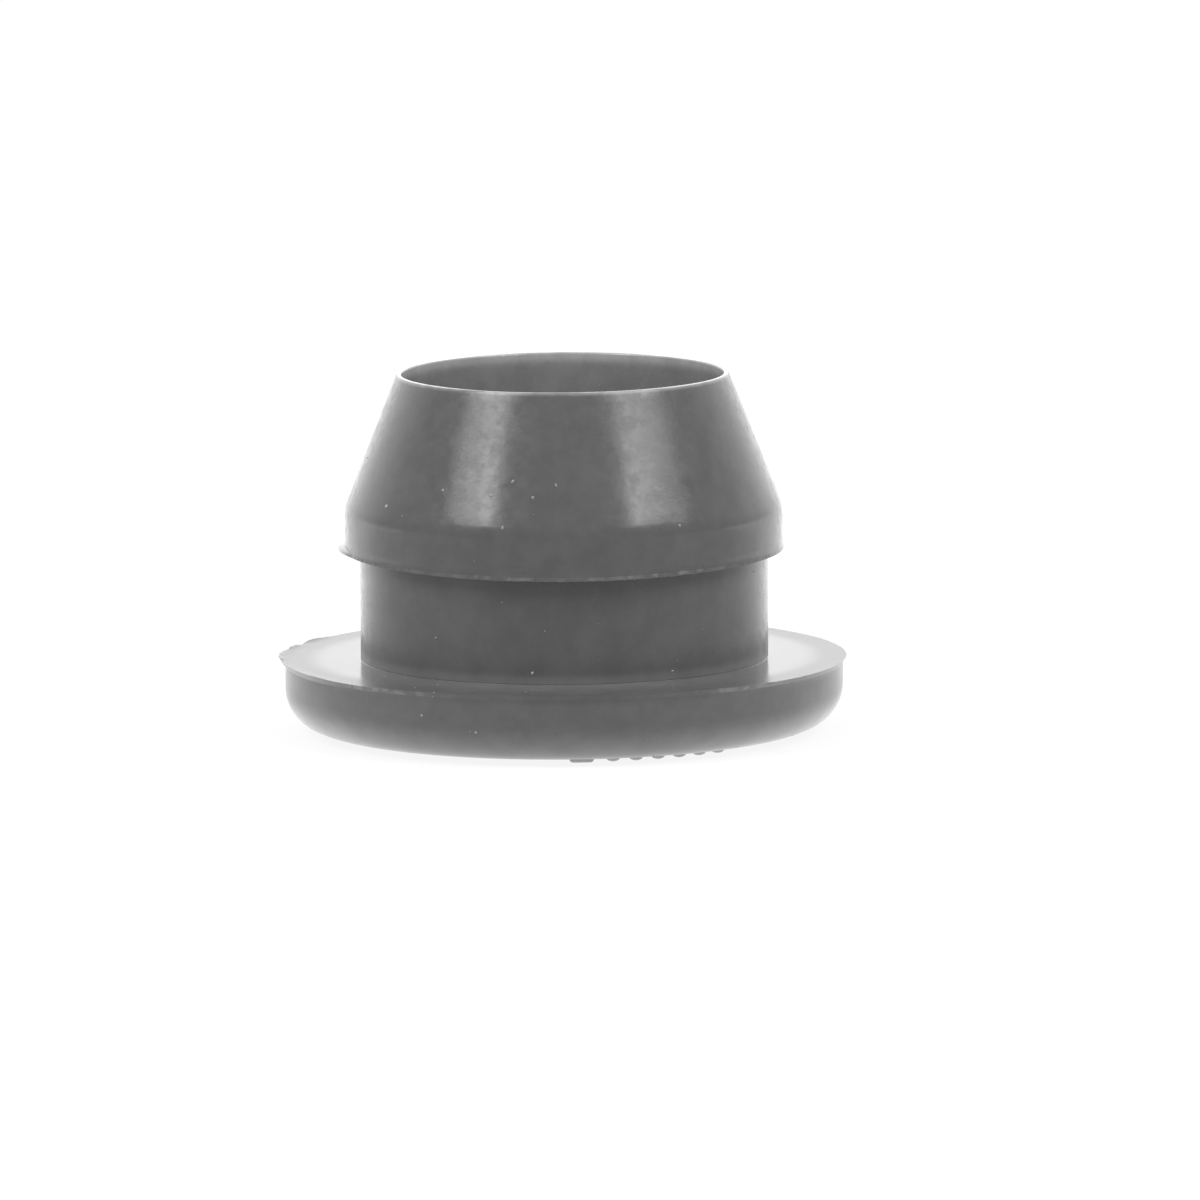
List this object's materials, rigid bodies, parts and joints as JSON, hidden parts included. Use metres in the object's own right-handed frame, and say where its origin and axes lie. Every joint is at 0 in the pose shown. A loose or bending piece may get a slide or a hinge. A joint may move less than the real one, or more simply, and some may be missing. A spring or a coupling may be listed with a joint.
{
  "type": "rubber grommet",
  "caption": "Push-in rubber grommet: a wide flange with a rounded lower edge, a straight neck, a snap-in barb and a tapered nose round a through bore.",
  "frame": {"origin": "on the bore's axis, at the underside of the flange", "axes": "+Z along the bore, from the flange to the nose; X and Y are equal, because the piece is round"},
  "size_m": [0.0264, 0.0262, 0.0165],
  "materials": {
    "rubber": "semi-gloss moulded"
  },
  "bodies": {
    "root": {"grommet": "rubber"}
  },
  "joints": []
}
